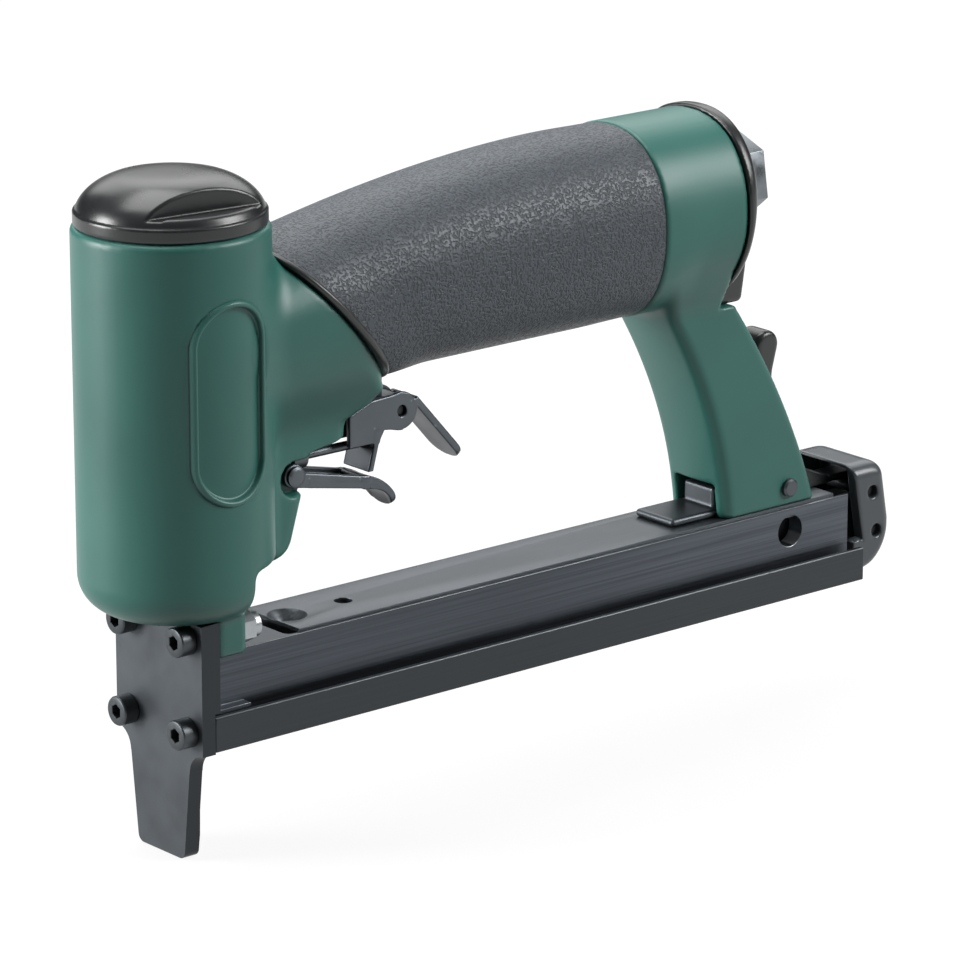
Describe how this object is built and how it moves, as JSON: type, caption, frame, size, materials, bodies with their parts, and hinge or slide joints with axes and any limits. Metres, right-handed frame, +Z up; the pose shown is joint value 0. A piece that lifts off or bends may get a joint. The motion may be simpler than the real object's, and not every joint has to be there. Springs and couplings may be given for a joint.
{
  "type": "pneumatic upholstery stapler",
  "caption": "Hand held air stapler: upright barrel over a driving nose, a rubber sleeved handle with lever trigger and air inlet, and a long staple magazine with a latched slide below.",
  "frame": {"origin": "on the drive axis, in the plane of the nose tip's end face", "axes": "+X runs back along the magazine, +Z up the barrel, +Y to the user's left, with the nose pointing down"},
  "size_m": [0.2371, 0.045, 0.1593],
  "materials": {
    "green_paint": "satin",
    "grip_rubber": "matte",
    "black_moulding": "satin",
    "seal_rubber": "matte",
    "bright_aluminium": "satin",
    "dark_aluminium": "satin",
    "dark_steel": "satin",
    "zinc_steel": "satin",
    "turned_brass": "satin"
  },
  "bodies": {
    "tool": {"housing": "green_paint", "handle_grip": "grip_rubber", "top_cap": "black_moulding", "cap_seal": "seal_rubber", "cylinder_sleeve": "bright_aluminium", "sleeve_seals": "seal_rubber", "bumper": "seal_rubber", "end_cap": "black_moulding", "air_inlet": "dark_steel", "inlet_seal": "seal_rubber", "nose_plate": "dark_steel", "drive_guide": "dark_steel", "nose_screws": "dark_steel", "nose_nuts": "zinc_steel", "magazine_body": "dark_aluminium", "top_bar": "dark_aluminium", "foot_bracket": "dark_steel", "foot_screw": "dark_steel", "trigger_pin": "dark_steel", "rocker_mount": "dark_steel", "rocker_pin": "dark_steel", "rod_bush": "turned_brass", "rod_spring": "zinc_steel", "head_valve_spring": "zinc_steel", "latch_pin": "dark_steel", "latch_spring": "zinc_steel"},
    "drive_piston": {"piston": "bright_aluminium", "piston_seal": "seal_rubber", "driver_blade": "zinc_steel", "driver_pin": "zinc_steel"},
    "main_valve": {"head_valve": "black_moulding", "head_valve_seal": "seal_rubber"},
    "trigger": {"trigger_lever": "dark_steel"},
    "rocker": {"trigger_rocker": "dark_steel"},
    "valve": {"valve_rod": "dark_steel", "rod_seal": "seal_rubber"},
    "latch": {"latch_lever": "black_moulding"},
    "magazine_slide": {"slide_rail": "dark_aluminium", "slide_cap": "black_moulding", "catch_pin": "dark_steel", "cap_pin": "dark_steel", "staple_core": "zinc_steel", "pusher_spring": "zinc_steel"},
    "pusher": {"staple_pusher": "dark_steel"}
  },
  "joints": [
    {"name": "piston_stroke", "type": "slide", "parent": "tool", "child": "drive_piston", "axis": [0, 0, -1], "range_m": [0, 0.047]},
    {"name": "head_valve_lift", "type": "slide", "parent": "tool", "child": "main_valve", "axis": [0, 0, 1], "range_m": [0, 0.0025], "stiffness_N_per_m": 800, "springref_m": -0.005, "deforming": ["head_valve_spring"]},
    {"name": "trigger_pull", "type": "hinge", "parent": "tool", "child": "trigger", "pos_m": [0.0304, 0, 0.0835], "axis": [0, -1, 0], "range_deg": [0, 4], "stiffness_Nm_per_rad": 1.5, "springref_deg": -5.73},
    {"name": "rocker_turn", "type": "hinge", "parent": "tool", "child": "rocker", "pos_m": [0.0623, 0, 0.0933], "axis": [0, 1, 0], "range_deg": [0, 9.7]},
    {"name": "valve_push", "type": "slide", "parent": "tool", "child": "valve", "axis": [-1, 0, 0], "range_m": [0, 0.00205], "deforming": ["rod_spring"]},
    {"name": "latch_release", "type": "hinge", "parent": "tool", "child": "latch", "pos_m": [0.1805, 0, 0.0536], "axis": [0, -1, 0], "range_deg": [0, 5], "stiffness_Nm_per_rad": 3, "springref_deg": -5.73, "deforming": ["latch_spring"]},
    {"name": "slide_open", "type": "slide", "parent": "tool", "child": "magazine_slide", "axis": [1, 0, 0], "range_m": [0, 0.14]},
    {"name": "pusher_slide", "type": "slide", "parent": "magazine_slide", "child": "pusher", "axis": [1, 0, 0], "range_m": [0, 0.12], "stiffness_N_per_m": 20, "springref_m": -0.05, "deforming": ["pusher_spring"]}
  ],
  "couplings": [
    {"joint": "rocker_turn", "follows": "trigger_pull", "ratio": 2.4},
    {"joint": "valve_push", "follows": "trigger_pull", "m_per_rad": 0.0285}
  ]
}
